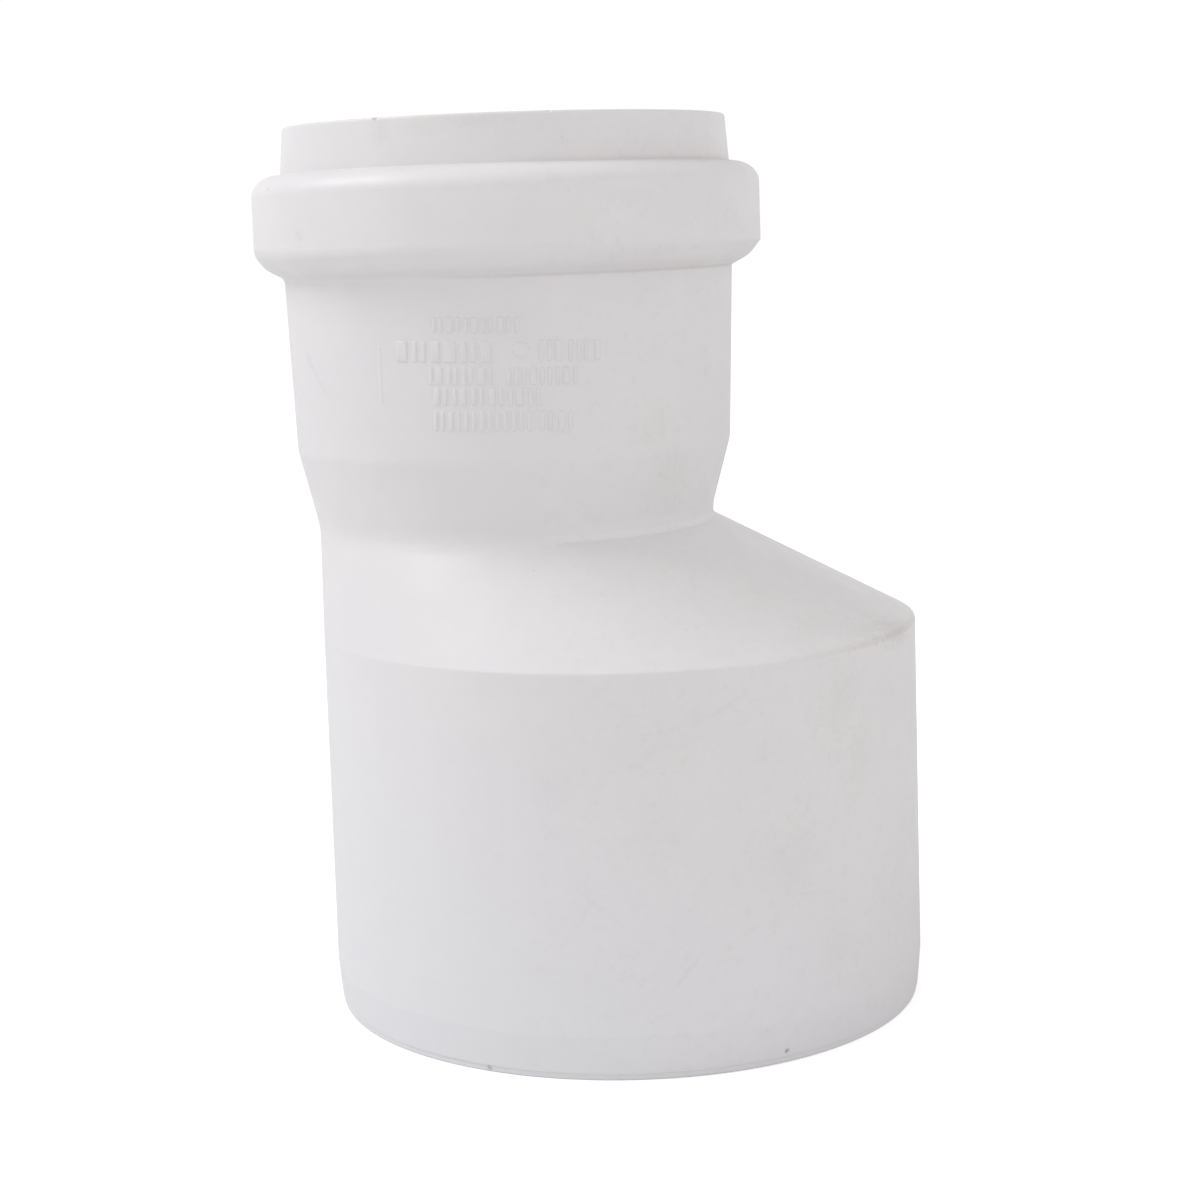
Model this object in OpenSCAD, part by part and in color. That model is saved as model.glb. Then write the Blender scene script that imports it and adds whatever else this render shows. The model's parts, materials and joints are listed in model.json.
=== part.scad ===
// Eccentric reducer for 75 mm and 50 mm drain pipe, in white PVC.
// The spigot is below and the ring-seal socket above, flush with each other on the -X side.
// Millimetres, +Z up. The origin is the centre of the spigot's end face.

/* [Spigot] */
// Outside diameter of the spigot, which is the size of the larger pipe
spigot_d = 75; // [70:0.5:90]
// Height of the straight spigot, from its end face to the cone
spigot_l = 47.4; // [40:0.1:70]
// Height of the tapered lead at the spigot's end
lead_l = 5.3; // [3:0.1:10]
// How far the lead draws the spigot in, on the radius
lead_in = 0.4; // [0.3:0.05:1.2]
// Height of the narrow band at the very end of the spigot
band_l = 0.8; // [0.4:0.1:1.5]
// How far the band stands back, on the radius
band_in = 0.15; // [0.1:0.05:0.4]

/* [Body] */
// Thickness of the spigot, the cone and the neck
wall = 2.5; // [2:0.1:3]
// Height of the oblique cone
cone_l = 13.2; // [10:0.1:25]
// Outside diameter of the neck above the cone
neck_d = 50; // [48:0.5:54]
// Height of the straight neck
neck_l = 0.8; // [0.5:0.1:5]
// Height of the flare from the neck to the socket
flare_l = 9.1; // [6:0.1:14]

/* [Socket] */
// Outside diameter of the smaller pipe
pipe_d = 50; // [49:0.5:50.5]
// Room round the pipe in the socket, on the radius
pipe_room = 0.2; // [0.15:0.05:0.4]
// Outside diameter at the foot of the socket
barrel_foot_d = 54.7; // [54.5:0.1:56]
// Outside diameter at the top of the barrel, under the bead
barrel_top_d = 56.2; // [56:0.1:57]
// Height of the barrel
barrel_l = 21.5; // [18:0.1:40]
// Width of the ledge that stops the pipe
ledge_w = 1.3; // [1:0.1:2]

/* [Bead and collar] */
// Outside diameter of the bead round the seal
bead_d = 63.5; // [62:0.5:66]
// Height of the bead
bead_l = 12.8; // [12:0.1:16]
// Height of the bead's sloping underside
underside_l = 3; // [2:0.1:3.6]
// Radius of the bead's top shoulder
shoulder_r = 2.5; // [1:0.5:3]
// Height of the collar above the bead
collar_l = 5.8; // [4:0.1:8]
// Outside diameter at the foot of the collar
collar_foot_d = 56.1; // [55:0.1:56.5]
// Outside diameter at the rim of the collar
rim_d = 55.2; // [54:0.1:56]
// Height of the chamfer inside the rim
mouth_l = 0.8; // [0.4:0.1:1.2]

/* [Seal] */
// Diameter at the bottom of the seal groove
groove_d = 58.8; // [57:0.1:60]
// Height of the seal groove
groove_l = 7.8; // [6.5:0.1:8.4]
// Room between the seal and the sides of its groove
seal_room = 0.2; // [0.1:0.05:0.4]
// Thickness of the seal's outer band
seal_band = 1.8; // [1.5:0.1:2]
// Thickness of the seal's lip
lip_t = 1.1; // [0.8:0.1:1.4]

/* [Hidden] */
$fn = 128;

spigot_r = spigot_d / 2;
neck_r = neck_d / 2;
pipe_r = pipe_d / 2;
bore_r = pipe_r + pipe_room;
bead_r = bead_d / 2;
groove_r = groove_d / 2;

// Distance between the two axes, which sets the -X sides flush
offset_x = neck_r - spigot_r;

// The ledge lies this far below the barrel's foot, and the groove this far above the bead's
ledge_drop = 0.5;
groove_rise = 2.8;

// Heights above the spigot's end face
cone_z = spigot_l;
neck_z = cone_z + cone_l;
flare_z = neck_z + neck_l;
barrel_z = flare_z + flare_l;
bead_z = barrel_z + barrel_l;
collar_z = bead_z + bead_l;
rim_z = collar_z + collar_l;
ledge_z = barrel_z - ledge_drop;
groove_z = bead_z + groove_rise;

// The inner cone is lowered by drop, which makes the wall as thick on the slope as on the spigot
slope = atan(cone_l / (spigot_d - neck_d));
drop = wall * (1 - sin(slope)) / cos(slope);

// Overlap that keeps cuts clear of the faces they open
eps = 1;

// A cone between two level circles, whose upper circle is moved along X by shift
module oblique_cone(r_low, r_high, h, shift) {
    multmatrix([[1, 0, shift, 0], [0, 1, 0, 0], [0, 0, h, 0], [0, 0, 0, 1]])
        cylinder(r1 = r_low, r2 = r_high, h = 1);
}

module spigot_outside() {
    tip_r = spigot_r - lead_in;
    rotate_extrude()
        polygon([
            [0, 0], [tip_r - band_in, 0], [tip_r - band_in, band_l], [tip_r, band_l],
            [spigot_r, lead_l], [spigot_r, cone_z], [0, cone_z]
        ]);
}

// The neck, the flare, the barrel, the bead with its rounded shoulder, and the collar
module socket_outside() {
    translate([offset_x, 0, 0])
        rotate_extrude() {
            polygon([
                [0, neck_z], [neck_r, neck_z], [neck_r, flare_z],
                [barrel_foot_d / 2, barrel_z], [barrel_top_d / 2, bead_z],
                [bead_r, bead_z + underside_l], [bead_r, collar_z - shoulder_r],
                [bead_r - shoulder_r, collar_z], [collar_foot_d / 2, collar_z],
                [rim_d / 2, rim_z], [0, rim_z]
            ]);
            translate([bead_r - shoulder_r, collar_z - shoulder_r])
                circle(r = shoulder_r);
        }
}

module outside() {
    spigot_outside();
    translate([0, 0, cone_z])
        oblique_cone(spigot_r, neck_r, cone_l, offset_x);
    socket_outside();
}

// Everything that the water and the pipe pass through
module waterway() {
    translate([0, 0, -eps])
        cylinder(r = spigot_r - wall, h = cone_z - drop + eps);
    translate([0, 0, cone_z - drop])
        oblique_cone(spigot_r - wall, neck_r - wall, cone_l, offset_x);
    translate([offset_x, 0, 0])
        rotate_extrude()
            polygon([
                [0, neck_z - drop], [neck_r - wall, neck_z - drop], [neck_r - wall, flare_z],
                [bore_r - ledge_w, ledge_z], [bore_r, ledge_z],
                [bore_r, groove_z], [groove_r, groove_z],
                [groove_r, groove_z + groove_l], [bore_r, groove_z + groove_l],
                [bore_r, rim_z - mouth_l], [bore_r + mouth_l, rim_z],
                [bore_r + mouth_l, rim_z + eps], [0, rim_z + eps]
            ]);
}

module reducer_body() {
    color("whitesmoke")
        difference() {
            outside();
            waterway();
        }
}

// The elastomer ring: a band against the groove and a lip that a pipe has pressed back
module seal_ring() {
    low = groove_z + seal_room;
    high = groove_z + groove_l - seal_room;
    band_r = groove_r - seal_band;
    foot_chamfer = 1;
    // The lip slopes in to the pipe at lip_z and lies along it down to tip_z
    lip_z = high - 2.6;
    tip_z = high - 4.2;
    tip_slant = 0.4;
    color("dimgray")
        translate([offset_x, 0, 0])
            rotate_extrude()
                polygon([
                    [groove_r, low + foot_chamfer], [groove_r, high], [band_r, high],
                    [pipe_r, lip_z], [pipe_r, tip_z],
                    [pipe_r + lip_t, tip_z - tip_slant], [band_r, lip_z - lip_t],
                    [band_r, low], [groove_r - foot_chamfer, low]
                ]);
}

reducer_body();
seal_ring();
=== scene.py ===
import json
from collections import namedtuple
from itertools import cycle
from math import cos, degrees, pi, radians, sin, tan

import bmesh
import bpy
from mathutils import Matrix, Vector, noise


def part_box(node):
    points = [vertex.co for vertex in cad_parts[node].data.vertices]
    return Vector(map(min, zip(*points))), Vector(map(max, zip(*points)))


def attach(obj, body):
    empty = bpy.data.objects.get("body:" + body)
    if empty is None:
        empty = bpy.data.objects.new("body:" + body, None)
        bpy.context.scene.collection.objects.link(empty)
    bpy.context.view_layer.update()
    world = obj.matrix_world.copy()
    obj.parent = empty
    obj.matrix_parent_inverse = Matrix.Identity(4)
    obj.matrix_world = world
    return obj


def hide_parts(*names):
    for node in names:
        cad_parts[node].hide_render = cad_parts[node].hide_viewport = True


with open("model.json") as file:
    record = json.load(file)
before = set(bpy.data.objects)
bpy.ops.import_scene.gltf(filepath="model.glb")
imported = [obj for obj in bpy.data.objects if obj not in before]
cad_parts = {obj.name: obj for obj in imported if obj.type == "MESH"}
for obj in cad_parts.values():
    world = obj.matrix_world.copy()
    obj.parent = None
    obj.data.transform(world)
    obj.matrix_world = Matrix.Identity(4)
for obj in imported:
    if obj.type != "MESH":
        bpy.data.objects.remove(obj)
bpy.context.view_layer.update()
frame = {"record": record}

# Sizes are in millimetres. Angles run from +X towards +Y, so that the front is at -90 degrees.
MM = 0.001
FRONT = -90

# Sizes that the frame gives
mounts = {mount["name"]: mount for mount in frame["record"]["mounts"]}
body_low, body_high = (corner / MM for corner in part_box("reducer_body"))
seal_low, seal_high = (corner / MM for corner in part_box("seal_ring"))
SPIGOT_X = mounts["spigot"]["pos_m"][0] / MM
SOCKET_X = mounts["socket"]["pos_m"][0] / MM
SPIGOT_R = body_high.y
BEAD_R = SOCKET_X - body_low.x
BORE_R = mounts["socket"]["dims"]["r_mm"]
SEAL_R = SOCKET_X - seal_low.x
SEAL_THICKNESS = 4.4
PIPE_R = SEAL_R - SEAL_THICKNESS
LEDGE_Z = mounts["pipe_stop"]["pos_m"][2] / MM
RIM_Z = body_high.z

# The spigot, with the tapered lead and the narrow band at its end
BAND_R = SPIGOT_R - 0.55
BAND_Z = 0.8
LEAD_FOOT_R = SPIGOT_R - 0.4
LEAD_Z = 5.3
SPIGOT_Z = 47.4
WALL = 2.5

# The neck at the top of the oblique cone, and the flare above it
NECK_R = 25.0
NECK_Z = 60.6
FLARE_Z = 61.9
INNER_NECK_LOW_Z = 59.09
INNER_NECK_HIGH_Z = 61.4

# The socket
BARREL_FOOT_R = 27.35
BARREL_FOOT_Z = 70.5
BARREL_TOP_R = 28.1
BEAD_Z = 92.0
UNDERSIDE = 3.0
SHOULDER_Z = 104.8
SHOULDER_WIDTH = 3.3
SHOULDER_DROP = 2.6
COLLAR_R = 28.05
RIM_R = 27.6
MOUTH = 0.8
LEDGE_R = 23.9
GROOVE_R = 29.4
GROOVE_LOW_Z = 94.8
GROOVE_HIGH_Z = 102.6

# Where the edges turn from crisp to rounded, in degrees from the side where the cone overhangs
NECK_TURN = (74, 78)
EDGE_TURN = (40, 62)
BEAD_TURN = (8, 75)

# How far the bead's underside bulges, and the points along its shoulder
UNDERSIDE_BULGE = 0.2
SHOULDER_STEPS = 10

# The turn at the neck: how far it reaches where it is rounded, and where it is crisp its edge
# and the low ridge that the mould's joint has left above it
NECK_REACH = 1.3
NECK_EDGE = 0.12
RIDGE_OUT = 0.08
RIDGE_UP = 0.22
RIDGE_END_UP = 0.7
FLARE_START_OUT = 0.1
FLARE_START_UP = 0.5

# The lofts' columns, and how far beyond a rounding the holding ring lies
COLUMNS = 400
HOLD = 0.3

# The limits of a rounding and its hold, as shares of the shorter side at the corner
LEAST_SETBACK = 0.008
MOST_SETBACK = 0.36
MOST_HOLD = 0.1

Corner = namedtuple("Corner", "point softness steps")


def smooth_step(low, high, value):
    """0 below low, 1 above high, and a smooth rise between them."""
    share = min(max((value - low) / (high - low), 0), 1)
    return share * share * (3 - 2 * share)


def mix(low, high, share):
    return low + (high - low) * share


def on_ring(axis_x, radius, height, angle):
    """The point at an angle on a level ring round an axis that stands at axis_x."""
    return Vector((axis_x + radius * cos(angle), radius * sin(angle), height))


def rounded(corners):
    """A closed section's points: an arc at each corner, with a holding point on either side.
    A corner of no steps stays a plain point."""
    points = []
    for i, (here, softness, steps) in enumerate(corners):
        if steps == 0:
            points.append(here)
            continue
        before = corners[i - 1].point - here
        after = corners[(i + 1) % len(corners)].point - here
        turn = pi - before.angle(after)
        reach = min(before.length, after.length)
        setback = max(softness * tan(turn / 2), LEAST_SETBACK * reach)
        setback = min(setback, MOST_SETBACK * reach)
        hold = min(HOLD, MOST_HOLD * reach)
        before.normalize()
        after.normalize()
        start = here + before * setback
        end = here + after * setback
        weight = cos(turn / 2)
        points.append(start + before * hold)
        for step in range(steps + 1):
            t = step / steps
            a = (1 - t) ** 2
            b = 2 * weight * t * (1 - t)
            c = t ** 2
            points.append((start * a + here * b + end * c) / (a + b + c))
        points.append(end + after * hold)
    return points


def loft(name, section):
    """A closed ring of quads whose section at each angle is rounded(section(angle))."""
    vertices = []
    for column in range(COLUMNS):
        angle = 2 * pi * column / COLUMNS - pi
        vertices += [point * MM for point in rounded(section(angle))]
    count = len(vertices) // COLUMNS
    faces = []
    for column in range(COLUMNS):
        here = column * count
        beside = (column + 1) % COLUMNS * count
        for i in range(count):
            j = (i + 1) % count
            faces.append((here + i, beside + i, beside + j, here + j))
    mesh = bpy.data.meshes.new(name)
    mesh.from_pydata(vertices, [], faces)
    return add_piece(name, mesh)


def add_piece(name, mesh):
    piece = bpy.data.objects.new(name, mesh)
    bpy.context.scene.collection.objects.link(piece)
    return piece


def neck_corners(angle, cone_foot, barrel_foot, loose):
    """The turn from the cone into the flare: rounded where loose is 1, and where it is 0
    a crisp corner under a low ridge that the mould's joint has left."""
    neck = on_ring(SOCKET_X, NECK_R, NECK_Z, angle)
    down = (cone_foot - neck).normalized()
    up = (barrel_foot - neck).normalized()
    low = neck + down * NECK_REACH
    high = neck + up * NECK_REACH
    weight = cos((pi - down.angle(up)) / 2)
    middle = (low + high + neck * (2 * weight)) / (2 + 2 * weight)
    crisp = [
        neck + down * NECK_EDGE,
        on_ring(SOCKET_X, NECK_R + RIDGE_OUT, NECK_Z + RIDGE_UP, angle),
        on_ring(SOCKET_X, NECK_R, NECK_Z + RIDGE_END_UP, angle),
        on_ring(SOCKET_X, NECK_R + FLARE_START_OUT, FLARE_Z + FLARE_START_UP, angle),
    ]
    soft = [low, middle, high, high.lerp(barrel_foot, 0.2)]
    crisp_softness = [0.12, 0.3, 0.6, 3]
    return [
        Corner(a.lerp(b, loose), mix(softness, 4, loose), 4)
        for a, b, softness in zip(crisp, soft, crisp_softness)
    ]


def body_section(angle):
    """The moulding's corners at one angle, up the outside and down the inside. Its edges are
    crisp on the side where the cone overhangs, and rounder towards the flush side."""
    side = abs(degrees(angle))
    loose = smooth_step(*NECK_TURN, side)
    full = smooth_step(*EDGE_TURN, side)

    def spigot(radius, height, softness, steps=3):
        return Corner(on_ring(SPIGOT_X, radius, height, angle), softness, steps)

    def socket(radius, height, softness, steps=3):
        return Corner(on_ring(SOCKET_X, radius, height, angle), softness, steps)

    shoulder = [
        socket(
            BEAD_R - SHOULDER_WIDTH * (1 - cos(turn)),
            SHOULDER_Z - SHOULDER_DROP * (1 - sin(turn)),
            0, 0,
        )
        for turn in (pi / 2 * step / SHOULDER_STEPS for step in range(SHOULDER_STEPS + 1))
    ]
    cone_foot = spigot(SPIGOT_R, SPIGOT_Z, 0.35, 4)
    barrel_foot = socket(BARREL_FOOT_R, BARREL_FOOT_Z, 6, 4)
    underside = socket(
        mix(BARREL_TOP_R, BEAD_R, 0.55) + UNDERSIDE_BULGE,
        BEAD_Z + 0.45 * UNDERSIDE - UNDERSIDE_BULGE,
        4, 4,
    )
    return [
        spigot(BAND_R, 0, 0.2),
        spigot(BAND_R, BAND_Z, 0.08, 2),
        spigot(LEAD_FOOT_R, BAND_Z, 0.08, 2),
        spigot(SPIGOT_R, LEAD_Z, 1.5, 4),
        cone_foot,
        *neck_corners(angle, cone_foot.point, barrel_foot.point, loose),
        barrel_foot,
        socket(BARREL_TOP_R, BEAD_Z, mix(0.25, 0.9, full), 4),
        underside,
        socket(BEAD_R, BEAD_Z + UNDERSIDE, mix(0.3, 3.5, smooth_step(*BEAD_TURN, side)), 6),
        *shoulder,
        socket(COLLAR_R, SHOULDER_Z, mix(0.25, 0.6, full), 4),
        socket(RIM_R, RIM_Z, 0.3, 4),
        socket(BORE_R + MOUTH, RIM_Z, 0.15),
        socket(BORE_R, RIM_Z - MOUTH, 0.15),
        socket(BORE_R, GROOVE_HIGH_Z, 0.2),
        socket(GROOVE_R, GROOVE_HIGH_Z, 0.5),
        socket(GROOVE_R, GROOVE_LOW_Z, 0.5),
        socket(BORE_R, GROOVE_LOW_Z, 0.2),
        socket(BORE_R, LEDGE_Z, 0.15),
        socket(LEDGE_R, LEDGE_Z, 0.2),
        socket(NECK_R - WALL, INNER_NECK_HIGH_Z, 2, 4),
        socket(NECK_R - WALL, INNER_NECK_LOW_Z, 2, 4),
        spigot(SPIGOT_R - WALL, SPIGOT_Z - NECK_Z + INNER_NECK_LOW_Z, 0.5),
        spigot(SPIGOT_R - WALL, 0, 0.2),
    ]


# The raised marks stand on the barrel. Their places along it are measured from the front line.
MARK_RISE = 0.14
INSERT_RISE = 0.05
MARK_SINK = 0.3
MARK_TILT = -0.025

# A mark's rings, from its foot inside the barrel to its top. Each has its height, which is a
# share of the mark's rise above the barrel, and how far it is drawn in.
MARK_LEVELS = [(-MARK_SINK, -0.05), (0, 0), (0.4, 0.06), (0.8, 0.13), (1, 0.2)]


def barrel_frame(along, height):
    """Axes and place for something on the barrel: X along it, Y up it and Z out of it."""
    share = (height - BARREL_FOOT_Z) / (BEAD_Z - BARREL_FOOT_Z)
    radius = mix(BARREL_FOOT_R, BARREL_TOP_R, share)
    angle = radians(FRONT) + along / radius
    place = on_ring(SOCKET_X, radius, height, angle)
    across = Vector((-sin(angle), cos(angle), 0))
    across.z = MARK_TILT
    across.normalize()
    lean = (BARREL_TOP_R - BARREL_FOOT_R) / (BEAD_Z - BARREL_FOOT_Z)
    out = Vector((cos(angle), sin(angle), -lean)).normalized()
    up = out.cross(across).normalized()
    return Matrix((across, up, out)).transposed(), place


def mark_outline(width, height, radius, quarter=3):
    """A level outline with round corners."""
    points = []
    for turn in range(4):
        x = (width / 2 - radius) * (1 if turn in (0, 3) else -1)
        y = (height / 2 - radius) * (1 if turn in (0, 1) else -1)
        for step in range(quarter + 1):
            angle = (turn + step / quarter) * pi / 2
            points.append((x + radius * cos(angle), y + radius * sin(angle)))
    return points


def add_mark(bm, along, height, width, tall, radius=0.22, full_rise=MARK_RISE):
    """One plain raised block with drafted sides and a soft top edge."""
    axes, place = barrel_frame(along, height + MARK_TILT * along)
    rings = []
    for rise, draw in MARK_LEVELS:
        level = rise * full_rise if rise > 0 else rise
        outline = mark_outline(width - 2 * draw, tall - 2 * draw, max(radius - draw, 0.02))
        rings.append([
            bm.verts.new((place + axes @ Vector((x, y, level))) * MM)
            for x, y in outline
        ])
    bm.faces.new(reversed(rings[0]))
    bm.faces.new(rings[-1])
    for low, high in zip(rings, rings[1:]):
        for i in range(len(low)):
            j = (i + 1) % len(low)
            bm.faces.new((low[i], low[j], high[j], high[i]))


def add_row(bm, start, end, low, high, widths, gaps):
    """A row of upright blocks between two places along the barrel. The widths and gaps repeat."""
    along = start
    for width, gap in zip(cycle(widths), cycle(gaps)):
        if along + width > end:
            break
        add_mark(bm, along + width / 2, (low + high) / 2, width, high - low)
        along += width + gap


def raised_marks():
    """Plain blocks and bars in rows, and one dot. They say nothing."""
    bm = bmesh.new()
    add_row(bm, -7.3, 3.9, 85.5, 87.4, (0.5, 0.5, 0.8), (0.3, 0.46))
    add_row(bm, -12.0, 1.4, 82.1, 84.6, (1.5, 0.7, 0.7, 1.2), (0.55, 0.4))
    add_mark(bm, 3.0, 83.6, 1.9, 1.9, 0.94)
    add_row(bm, 5.1, 13.4, 82.2, 84.7, (0.5, 0.5, 0.8, 0.5), (0.5, 0.36, 0.8))
    add_row(bm, -7.9, 0.4, 79.5, 81.6, (0.5, 0.9, 0.5, 0.5, 0.5), (0.3, 0.5))
    add_row(bm, 1.3, 9.7, 79.5, 81.6, (0.5, 0.5, 0.5, 0.8), (0.36, 0.42))
    add_row(bm, -7.4, 5.6, 77.1, 79.2, (0.8, 0.5, 0.5), (0.36, 0.62))
    add_row(bm, -7.5, 4.0, 74.1, 76.5, (0.5, 0.5, 0.6, 0.5), (0.34, 0.44))
    add_row(bm, 5.0, 9.2, 74.1, 76.5, (0.5, 0.5, 0.8), (0.4, 0.7))
    # The edge of the mould's insert, beside the rows
    add_mark(bm, -14.4, 80.4, 0.6, 6.8, full_rise=INSERT_RISE)
    mesh = bpy.data.meshes.new("marks")
    bm.to_mesh(mesh)
    bm.free()
    return add_piece("marks", mesh)


Chip = namedtuple("Chip", "angle width depth seed")
CHIPS = [Chip(-118, 1.1, 0.55, 3), Chip(-75, 0.8, 0.4, 8)]
CHIP_IN = 0.5
CHIP_UP = 0.1
CHIP_ROUGH = 0.25


def chip(angle, width, depth, seed):
    """A small rough lump at the rim's outer edge, which is cut away from it."""
    bm = bmesh.new()
    bmesh.ops.create_icosphere(bm, subdivisions=3, radius=1)
    turn = radians(angle)
    place = on_ring(SOCKET_X, RIM_R, RIM_Z + CHIP_UP, turn)
    spin = Matrix.Rotation(turn, 3, "Z")
    for vertex in bm.verts:
        rough = 1 + CHIP_ROUGH * noise.noise(vertex.co * 1.7 + Vector((seed, 0, 0)))
        shape = Vector((CHIP_IN, width / 2, depth))
        vertex.co = (place + spin @ (vertex.co * rough * shape)) * MM
    mesh = bpy.data.meshes.new("chip")
    bm.to_mesh(mesh)
    bm.free()
    return add_piece("chip", mesh)


def combine(piece, tool, operation):
    """Unites or cuts the piece with a closed tool, which is then removed."""
    modifier = piece.modifiers.new(operation, "BOOLEAN")
    modifier.object = tool
    modifier.operation = operation
    modifier.solver = "MANIFOLD"
    graph = bpy.context.evaluated_depsgraph_get()
    mesh = bpy.data.meshes.new_from_object(piece.evaluated_get(graph))
    piece.modifiers.clear()
    piece.data = mesh
    bpy.data.objects.remove(tool)


def shade(piece):
    """Smooth, apart from the edges that turn by more than 38 degrees."""
    piece.data.shade_smooth()
    piece.data.set_sharp_from_angle(angle=radians(38))


def reducer_moulding():
    piece = loft("reducer_moulding", body_section)
    combine(piece, raised_marks(), "UNION")
    for nick in CHIPS:
        combine(piece, chip(*nick), "DIFFERENCE")
    shade(piece)
    return piece


# The seal lies just inside its CAD solid. Its ribs are measured from its lower end and its lip
# from its upper end, and the lip's two sides from the pipe.
SEAL_CLEAR = 0.04
SEAL_END_CLEAR = 0.05
SEAL_BAND = 1.8
RIBS = 3
RIB = 0.25
RIB_FIRST = 2.2
RIB_PITCH = 1.9
RIB_FOOT = 0.55
RIB_TOP = 0.25
LIP_IN = 0.05
LIP_OUT = 1.05


def seal_section(angle):
    """The sealing ring: a ribbed band against the groove, and a lip pressed back by a pipe."""
    def ring(radius, height, softness, steps=3):
        return Corner(on_ring(SOCKET_X, radius, height, angle), softness, steps)

    outer = SEAL_R - SEAL_CLEAR
    band = outer - SEAL_BAND
    low = seal_low.z + SEAL_END_CLEAR
    high = seal_high.z - SEAL_END_CLEAR
    ribs = []
    for i in range(RIBS):
        middle = low + RIB_FIRST + RIB_PITCH * i
        ribs += [
            ring(outer - RIB, middle - RIB_FOOT, 0.15, 2),
            ring(outer, middle - RIB_TOP, 0.15, 2),
            ring(outer, middle + RIB_TOP, 0.15, 2),
            ring(outer - RIB, middle + RIB_FOOT, 0.15, 2),
        ]
    return [
        ring(outer - 1.1, low, 0.3),
        ring(outer - RIB, low + 0.9, 0.3),
        *ribs,
        ring(outer - RIB, high - 0.9, 0.3),
        ring(outer - 0.9, high, 0.5),
        ring(band, high, 0.3),
        ring(PIPE_R + LIP_IN, high - 2.6, 0.5, 4),
        ring(PIPE_R + LIP_IN, high - 4.1, 0.25),
        ring(PIPE_R + LIP_OUT, high - 4.5, 0.2),
        ring(band, high - 3.6, 0.8, 4),
        ring(band, low, 0.3),
    ]


def sealing_ring():
    piece = loft("sealing_ring", seal_section)
    shade(piece)
    return piece


# Materials

def add(tree, kind, inputs=None, **settings):
    """A node with these settings, whose inputs are numbers or other nodes' outputs."""
    node = tree.nodes.new("ShaderNode" + kind)
    for name, value in settings.items():
        setattr(node, name, value)
    for name, value in (inputs or {}).items():
        if isinstance(value, bpy.types.NodeSocket):
            tree.links.new(value, node.inputs[name])
        else:
            node.inputs[name].default_value = value
    return node


def new_material(name):
    """A material, its node tree and its shader."""
    material = bpy.data.materials.new(name)
    material.use_nodes = True
    tree = material.node_tree
    return material, tree, tree.nodes["Principled BSDF"]


def place_in_mm(tree, stretch=(1, 1, 1)):
    """The place on the object in millimetres, stretched along each axis."""
    place = add(tree, "TexCoord").outputs["Object"]
    scale = [share / MM for share in stretch]
    return add(tree, "Mapping", {"Vector": place, "Scale": scale}).outputs["Vector"]


def fade(tree, value, start, end, low=0.0, high=1.0):
    """A number that goes smoothly from low at start to high at end."""
    inputs = {"Value": value, "From Min": start, "From Max": end, "To Min": low, "To Max": high}
    node = add(tree, "MapRange", inputs, interpolation_type="SMOOTHSTEP")
    return node.outputs["Result"]


def cloud(tree, place, scale, detail=3.0, rough=0.55):
    """A soft noise of about 1 / scale millimetres."""
    inputs = {"Vector": place, "Scale": scale, "Detail": detail, "Roughness": rough}
    return add(tree, "TexNoise", inputs).outputs["Fac"]


def blend(tree, share, low, high):
    """One colour mixed with another by share."""
    node = add(tree, "Mix", {0: share, 6: low, 7: high}, data_type="RGBA")
    return node.outputs[2]


def times(tree, a, b):
    return add(tree, "Math", {0: a, 1: b}, operation="MULTIPLY").outputs[0]


def plus(tree, a, b):
    return add(tree, "Math", {0: a, 1: b}, operation="ADD").outputs[0]


Blemish = namedtuple("Blemish", "axis radius angle height across tall tilt strength colour")

# The plastic's tones, a cool tint that is painted light, and the colours of the stains on it and
# of the shade painted along its creases and on its right side
PVC_TONE = (0.725, 0.7, 0.71, 1)
PVC_LIGHT = (0.741, 0.716, 0.721, 1)
PVC_MOTTLE = (0.706, 0.688, 0.704, 1)
# A cool tint painted low down and towards the flush side, standing in for the cooler light and
# shade there
PVC_PAINTED_COOL_LIGHT = (0.722, 0.71, 0.733, 1)
PVC_STREAK = (0.68, 0.657, 0.664, 1)
BROWN = (0.30, 0.235, 0.16, 1)
TAN = (0.46, 0.41, 0.33, 1)
GREY = (0.33, 0.325, 0.33, 1)
DARK = (0.06, 0.055, 0.05, 1)
PALE = (0.8, 0.8, 0.8, 1)

# The rubber's
RUBBER = (0.018, 0.018, 0.019, 1)
RUBBER_BLOOM = (0.045, 0.045, 0.047, 1)
RUBBER_DUST = (0.22, 0.21, 0.2, 1)

# How deep a blemish reaches below the skin, and where its edge and the edge of a line of painted
# crease shade fade out and are full, as shares of their sizes
BLEMISH_DEPTH = 2.5
BLEMISH_EDGE = (1.5, 0.1)
PAINTED_SHADE_EDGE = (1.2, 0.1)

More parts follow.
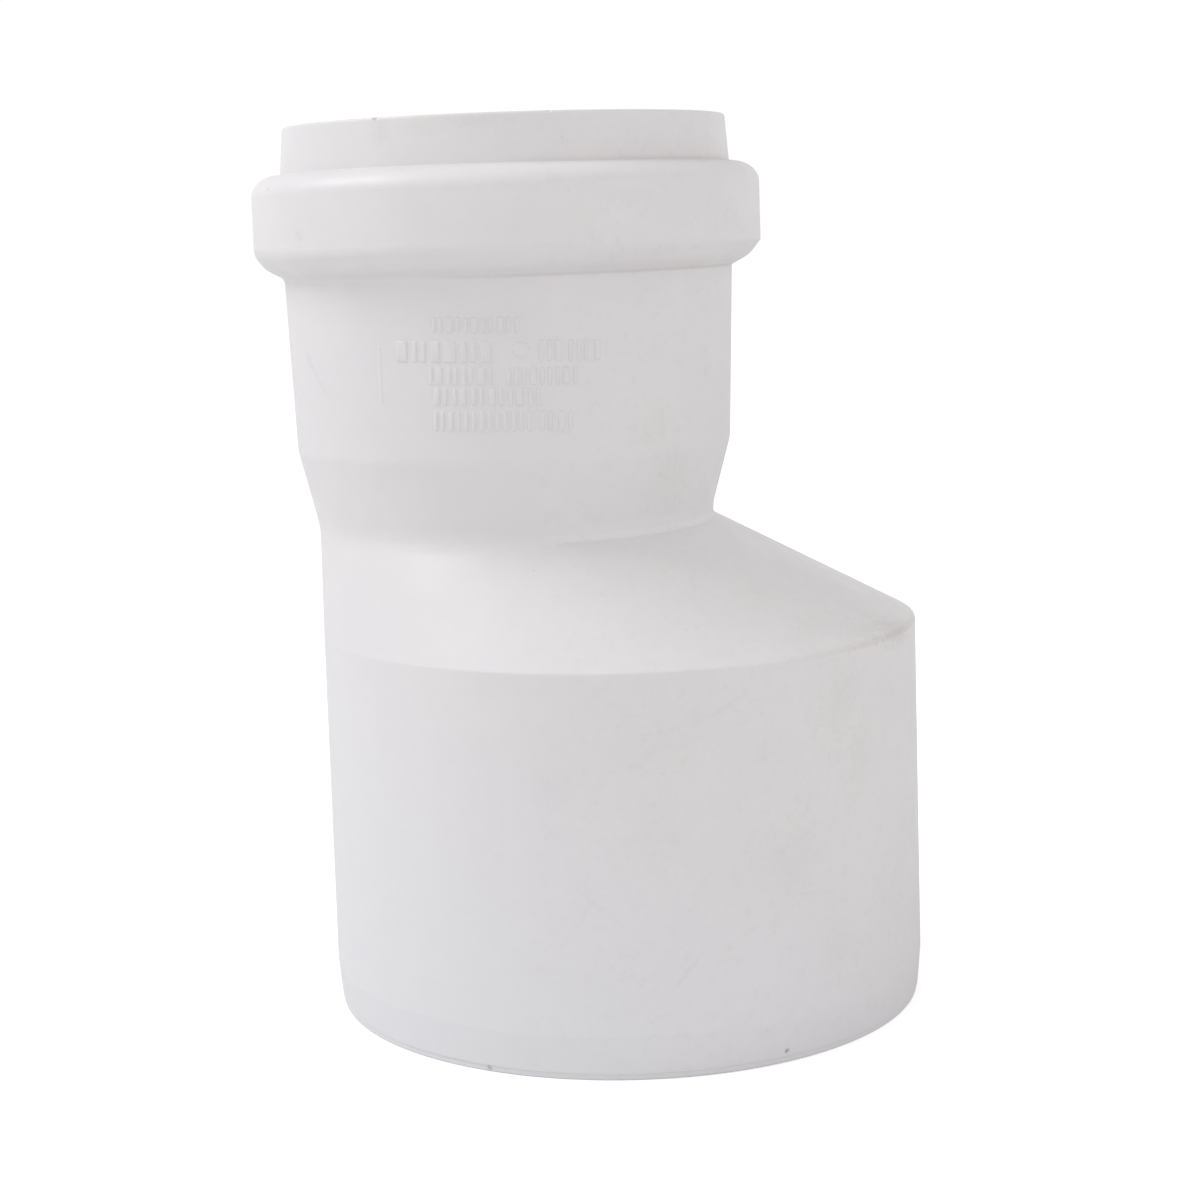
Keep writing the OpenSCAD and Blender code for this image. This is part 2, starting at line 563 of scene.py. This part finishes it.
BLEMISHES = [
    # Smudges on the collar, beside a chip and by itself
    Blemish(SOCKET_X, RIM_R, -117, 109.2, 1.2, 2.0, 0, 0.10, TAN),
    Blemish(SOCKET_X, RIM_R, -105, 109.4, 1.8, 1.2, 0, 0.09, TAN),
    Blemish(SOCKET_X, RIM_R, -92, 109.6, 3.5, 0.8, 0, 0.08, TAN),
    # A diagonal scuff on the barrel and a rough patch at the neck
    Blemish(SOCKET_X, 27.8, -147, 82, 0.5, 4.6, 46, 0.06, GREY),
    Blemish(SOCKET_X, 27.8, -145, 81, 0.4, 3.4, 40, 0.05, GREY),
    Blemish(SOCKET_X, NECK_R, -110, 60.8, 1.6, 0.5, 0, 0.10, PALE),
    # A patch on the barrel's right, down to the flare
    Blemish(SOCKET_X, 27.6, -48, 74, 3.0, 2.6, 20, 0.07, TAN),
    Blemish(SOCKET_X, 26.5, -42, 67, 3.2, 3.0, 0, 0.08, TAN),
    # A stain in the corner between the spigot and the cone, and its smear along the cone
    Blemish(SPIGOT_X, SPIGOT_R - 0.5, -24, 47.5, 4.6, 1.5, 4, 0.17, BROWN),
    Blemish(SPIGOT_X, SPIGOT_R - 2.5, -33, 48.2, 6.0, 1.6, 10, 0.09, BROWN),
    Blemish(SPIGOT_X, SPIGOT_R - 4.5, -46, 49.6, 7.0, 1.4, 14, 0.07, TAN),
    Blemish(SPIGOT_X, SPIGOT_R - 9, -52, 53.5, 5.0, 2.0, 20, 0.05, TAN),
    # Faint marks down the spigot
    Blemish(SPIGOT_X, SPIGOT_R, -101, 34, 2.4, 2.4, 0, 0.04, GREY),
    Blemish(SPIGOT_X, SPIGOT_R, -81, 38.5, 3.6, 3.0, 0, 0.05, TAN),
    Blemish(SPIGOT_X, SPIGOT_R, -82, 29, 3.2, 5.0, 8, 0.05, TAN),
    Blemish(SPIGOT_X, SPIGOT_R, -46, 41, 3.4, 5.5, -12, 0.08, TAN),
    Blemish(SPIGOT_X, SPIGOT_R, -41, 34, 2.0, 5.5, -20, 0.08, TAN),
    Blemish(SPIGOT_X, SPIGOT_R, -58, 24, 3.6, 5.0, 10, 0.08, TAN),
    Blemish(SPIGOT_X, SPIGOT_R, -47, 12, 3.0, 3.0, 0, 0.06, TAN),
    Blemish(SPIGOT_X, SPIGOT_R, -94, 21, 0.4, 2.8, 50, 0.05, GREY),
    Blemish(SPIGOT_X, SPIGOT_R, -96, 19.5, 0.35, 2.2, -35, 0.05, GREY),
    Blemish(SPIGOT_X, SPIGOT_R, -78, 12.7, 0.28, 2.6, -42, 0.08, GREY),
    Blemish(SPIGOT_X, SPIGOT_R, -70, 43, 0.3, 3.5, -65, 0.06, GREY),
    # Dirt in the end's corner
    Blemish(SPIGOT_X, SPIGOT_R - 0.4, -59.5, 1.5, 0.32, 0.32, 0, 0.52, DARK),
    Blemish(SPIGOT_X, BAND_R, -115, 0.5, 0.3, 0.3, 0, 0.39, DARK),
    # Brown spots on the bead, and a dull patch on its right
    Blemish(SOCKET_X, BEAD_R, -150, 103.0, 0.3, 0.3, 0, 0.20, BROWN),
    Blemish(SOCKET_X, BEAD_R, -136, 97.4, 1.0, 0.7, 0, 0.13, TAN),
    Blemish(SOCKET_X, BEAD_R, -60, 100.4, 2.6, 1.0, 0, 0.06, GREY),
]


def blemish_share(tree, place, ragged, blemish):
    """How much of a blemish shows at each place. It is uneven, and has no outline."""
    angle = radians(blemish.angle)
    centre = on_ring(blemish.axis, blemish.radius, blemish.height, angle)
    inputs = {
        "Vector": place,
        "Location": centre,
        "Rotation": (radians(blemish.tilt), 0, angle),
        "Scale": (BLEMISH_DEPTH, blemish.across, blemish.tall),
    }
    local = add(tree, "Mapping", inputs, vector_type="TEXTURE").outputs["Vector"]
    distance = add(tree, "VectorMath", {0: local}, operation="LENGTH").outputs["Value"]
    uneven = plus(tree, distance, ragged)
    return fade(tree, uneven, *BLEMISH_EDGE, 0.0, blemish.strength)


# A line of painted shade along a crease. It grows towards the right and shows only on the front.
PaintedCreaseShade = namedtuple("PaintedCreaseShade", "axis height wide start end strength colour")

PAINTED_CREASE_SHADES = [
    # Painted shade along the creases: under the bead, at the collar's foot and where the cone
    # meets the spigot
    PaintedCreaseShade(SOCKET_X, BEAD_Z, 0.26, -112, -84, 0.17, BROWN),
    PaintedCreaseShade(SOCKET_X, SHOULDER_Z + 0.1, 0.4, -100, -40, 0.13, BROWN),
    PaintedCreaseShade(SPIGOT_X, SPIGOT_Z, 0.4, -66, -30, 0.16, BROWN),
]


def painted_crease_shade_share(tree, place, ragged, line):
    """How much of a level line of painted shade along a crease shows. It grows from its start to
    its end at the right, and shows only on the front.
    """
    parts = add(tree, "SeparateXYZ", {"Vector": place}).outputs
    beside = plus(tree, parts["X"], -line.axis)
    angle = add(tree, "Math", {0: parts["Y"], 1: beside}, operation="ARCTAN2").outputs[0]
    around = fade(tree, angle, radians(line.start), radians(line.end))
    front = fade(tree, parts["Y"], 0, -8)
    distance = add(tree, "Math", {0: plus(tree, parts["Z"], -line.height)}, operation="ABSOLUTE")
    uneven = plus(tree, times(tree, distance.outputs[0], 1 / line.wide), times(tree, ragged, 0.35))
    near = fade(tree, uneven, *PAINTED_SHADE_EDGE, 0.0, line.strength)
    return times(tree, near, times(tree, around, front))


def pvc_tone_and_painted_light(tree, place):
    """The plastic's tones: uneven, with a cool tint painted low down and towards the flush side as
    light and shade, a thin film of dirt with tan shade painted into it that is heavier on the
    other side, and faint level flow lines."""
    tone = fade(tree, cloud(tree, place, 0.06, 4), 0.36, 0.64)
    colour = blend(tree, tone, PVC_TONE, PVC_LIGHT)
    mottle = fade(tree, cloud(tree, place, 0.28, 3), 0.42, 0.66, 0.0, 0.22)
    colour = blend(tree, mottle, colour, PVC_MOTTLE)
    parts = add(tree, "SeparateXYZ", {"Vector": place}).outputs
    # Painted light: a cool tint, stronger low down and towards the flush side
    painted_cool_light = fade(tree, plus(tree, parts["Z"], times(tree, parts["X"], 0.5)), 45, -5, 0.0, 1.0)
    colour = blend(tree, painted_cool_light, colour, PVC_PAINTED_COOL_LIGHT)
    smear = fade(tree, cloud(tree, place, 0.7, 6, 0.75), 0.5, 0.72, 0.0, 0.12)
    # Painted shade: the tan film is heavier towards the right side, where the shade falls
    painted_shade_side = fade(tree, parts["X"], -26, 6, 0.1, 1.0)
    colour = blend(tree, times(tree, smear, painted_shade_side), colour, TAN)
    along_ring = place_in_mm(tree, (0.05, 0.05, 1.4))
    streaks = fade(tree, cloud(tree, along_ring, 1.0, 3), 0.55, 0.75, 0.0, 0.12)
    return blend(tree, streaks, colour, PVC_STREAK)


def pvc_stains_and_painted_shade(tree, place, colour):
    """The colour with its blemishes, its lines of painted shade along the creases and a few
    specks.
    """
    ragged = fade(tree, cloud(tree, place, 1.8, 4, 0.7), 0.25, 0.75, -0.7, 0.7)
    for blemish in BLEMISHES:
        share = blemish_share(tree, place, ragged, blemish)
        colour = blend(tree, share, colour, blemish.colour)
    # Painted shade along the creases
    for line in PAINTED_CREASE_SHADES:
        colour = blend(tree, painted_crease_shade_share(tree, place, ragged, line), colour, line.colour)
    cells = add(tree, "TexVoronoi", {"Vector": place, "Scale": 0.16})
    speck = fade(tree, cells.outputs["Distance"], 0.04, 0.01, 0.0, 0.3)
    few = fade(tree, cells.outputs["Color"], 0.5, 0.6)
    return blend(tree, times(tree, speck, few), colour, BROWN)


def pvc_bumps(tree, place):
    """The skin's fine grain, thin scratches along the rings, and broad shallow waves."""
    grain = cloud(tree, place, 5.5, 3, 0.6)
    waves = cloud(tree, place, 0.22, 2)
    scratch_place = place_in_mm(tree, (0.25, 0.25, 3.0))
    scratches = fade(tree, cloud(tree, scratch_place, 1.3, 4, 0.65), 0.66, 0.72)
    fine = add(tree, "Bump", {"Height": grain, "Strength": 0.35, "Distance": 0.03 * MM})
    lines = add(tree, "Bump", {
        "Height": scratches, "Strength": 0.2, "Distance": -0.02 * MM,
        "Normal": fine.outputs["Normal"],
    })
    broad = add(tree, "Bump", {
        "Height": waves, "Strength": 0.6, "Distance": 0.12 * MM,
        "Normal": lines.outputs["Normal"],
    })
    return broad.outputs["Normal"]


def white_pvc():
    """Satin white plastic, a little uneven in tone, with faint flow lines, specks and stains, and
    with painted light and shade: a cool tint, a shaded right side and shaded creases.
    """
    material, tree, shader = new_material("white_pvc")
    place = place_in_mm(tree)
    colour = pvc_stains_and_painted_shade(tree, place, pvc_tone_and_painted_light(tree, place))
    tree.links.new(colour, shader.inputs["Base Color"])
    rub = cloud(tree, place, 0.16, 5, 0.6)
    tree.links.new(fade(tree, rub, 0.3, 0.7, 0.36, 0.52), shader.inputs["Roughness"])
    shader.inputs["Specular IOR Level"].default_value = 0.42
    tree.links.new(pvc_bumps(tree, place), shader.inputs["Normal"])
    return material


def black_rubber():
    """Matt rubber with a slight grey bloom and a little dust."""
    material, tree, shader = new_material("black_rubber")
    place = place_in_mm(tree)
    bloom = fade(tree, cloud(tree, place, 0.3, 5, 0.6), 0.4, 0.7)
    colour = blend(tree, bloom, RUBBER, RUBBER_BLOOM)
    dust = fade(tree, cloud(tree, place, 4.0, 2, 0.6), 0.68, 0.74, 0.0, 0.35)
    colour = blend(tree, dust, colour, RUBBER_DUST)
    tree.links.new(colour, shader.inputs["Base Color"])
    tree.links.new(fade(tree, bloom, 0.0, 1.0, 0.5, 0.72), shader.inputs["Roughness"])
    pores = cloud(tree, place, 7.0, 3, 0.6)
    bump = add(tree, "Bump", {"Height": pores, "Strength": 0.5, "Distance": 0.03 * MM})
    tree.links.new(bump.outputs["Normal"], shader.inputs["Normal"])
    return material


# What the floor adds to its own brightness where the camera sees it
FLOOR_GLOW = 0.46


def pale_floor():
    """A matt white table. It is seen brighter than it lights the object, as a table that is lit
    on its own is."""
    material, tree, shader = new_material("pale_floor")
    shader.inputs["Base Color"].default_value = (0.8, 0.8, 0.8, 1)
    shader.inputs["Roughness"].default_value = 0.9
    shader.inputs["Specular IOR Level"].default_value = 0.1
    shader.inputs["Emission Color"].default_value = (1, 1, 1, 1)
    seen = add(tree, "LightPath").outputs["Is Camera Ray"]
    tree.links.new(times(tree, seen, FLOOR_GLOW), shader.inputs["Emission Strength"])
    return material


# The stage

def make_floor():
    """A wide pale disc whose top is level with the spigot's end."""
    bm = bmesh.new()
    bmesh.ops.create_circle(bm, cap_ends=True, segments=96, radius=6)
    mesh = bpy.data.meshes.new("floor")
    bm.to_mesh(mesh)
    bm.free()
    floor = add_piece("floor", mesh)
    mesh.materials.append(pale_floor())


# What the lights look at, in metres
AIM = Vector((0, 0, 0.06))


def make_light(name, place, size, power, colour):
    """A square soft light whose place and size are in metres."""
    light = bpy.data.lights.new(name, "AREA")
    light.shape = "SQUARE"
    light.size = size
    light.energy = power
    light.color = colour
    lamp = bpy.data.objects.new(name, light)
    lamp.location = place
    lamp.rotation_euler = (AIM - lamp.location).to_track_quat("-Z", "Y").to_euler()
    bpy.context.scene.collection.objects.link(lamp)


def make_lights():
    """A white surround that is dimmer higher up, a soft key light from the left and above,
    and a weak light from the front right."""
    world = bpy.data.worlds.new("surround")
    world.use_nodes = True
    tree = world.node_tree
    direction = add(tree, "TexCoord").outputs["Generated"]
    height = add(tree, "SeparateXYZ", {"Vector": direction}).outputs["Z"]
    strength = fade(tree, height, sin(radians(9)), sin(radians(25)), 1.02, 0.77)
    background = tree.nodes["Background"]
    background.inputs["Color"].default_value = (1, 1, 1, 1)
    tree.links.new(strength, background.inputs["Strength"])
    bpy.context.scene.world = world
    make_light("key", (-0.66, -0.05, 0.83), 0.5, 4.1, (0.955, 0.982, 1))
    make_light("fill", (0.7, -0.5, 0.15), 0.6, 0.6, (1, 0.985, 0.975))


def make_camera():
    """A long lens, a little above the object's middle and nearly in front of it."""
    place = Vector((8.0, -296.0, 97.5)) * MM
    pan = -0.0589
    pitch = 0.1120
    roll = -0.0342
    forward = Vector((sin(pan) * cos(pitch), cos(pan) * cos(pitch), -sin(pitch)))
    level = Vector((cos(pan), -sin(pan), 0))
    above = level.cross(forward)
    right = level * cos(roll) + above * sin(roll)
    up = above * cos(roll) - level * sin(roll)
    turn = Matrix((right, up, -forward)).transposed()
    data = bpy.data.cameras.new("camera")
    data.lens = 70.3
    data.sensor_width = 36
    data.shift_x = 0.05
    data.shift_y = -0.0917
    data.clip_start = 0.01
    camera = bpy.data.objects.new("camera", data)
    camera.matrix_world = Matrix.Translation(place) @ turn.to_4x4()
    bpy.context.scene.collection.objects.link(camera)
    bpy.context.scene.camera = camera


def finish_piece(piece, node, material):
    """The piece stands for its CAD node and takes its finish."""
    piece.data.materials.clear()
    piece.data.materials.append(material)
    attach(piece, "root")
    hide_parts(node)


finish_piece(reducer_moulding(), "reducer_body", white_pvc())
finish_piece(sealing_ring(), "seal_ring", black_rubber())
make_floor()
make_lights()
make_camera()
bpy.context.scene.view_settings.view_transform = "Standard"
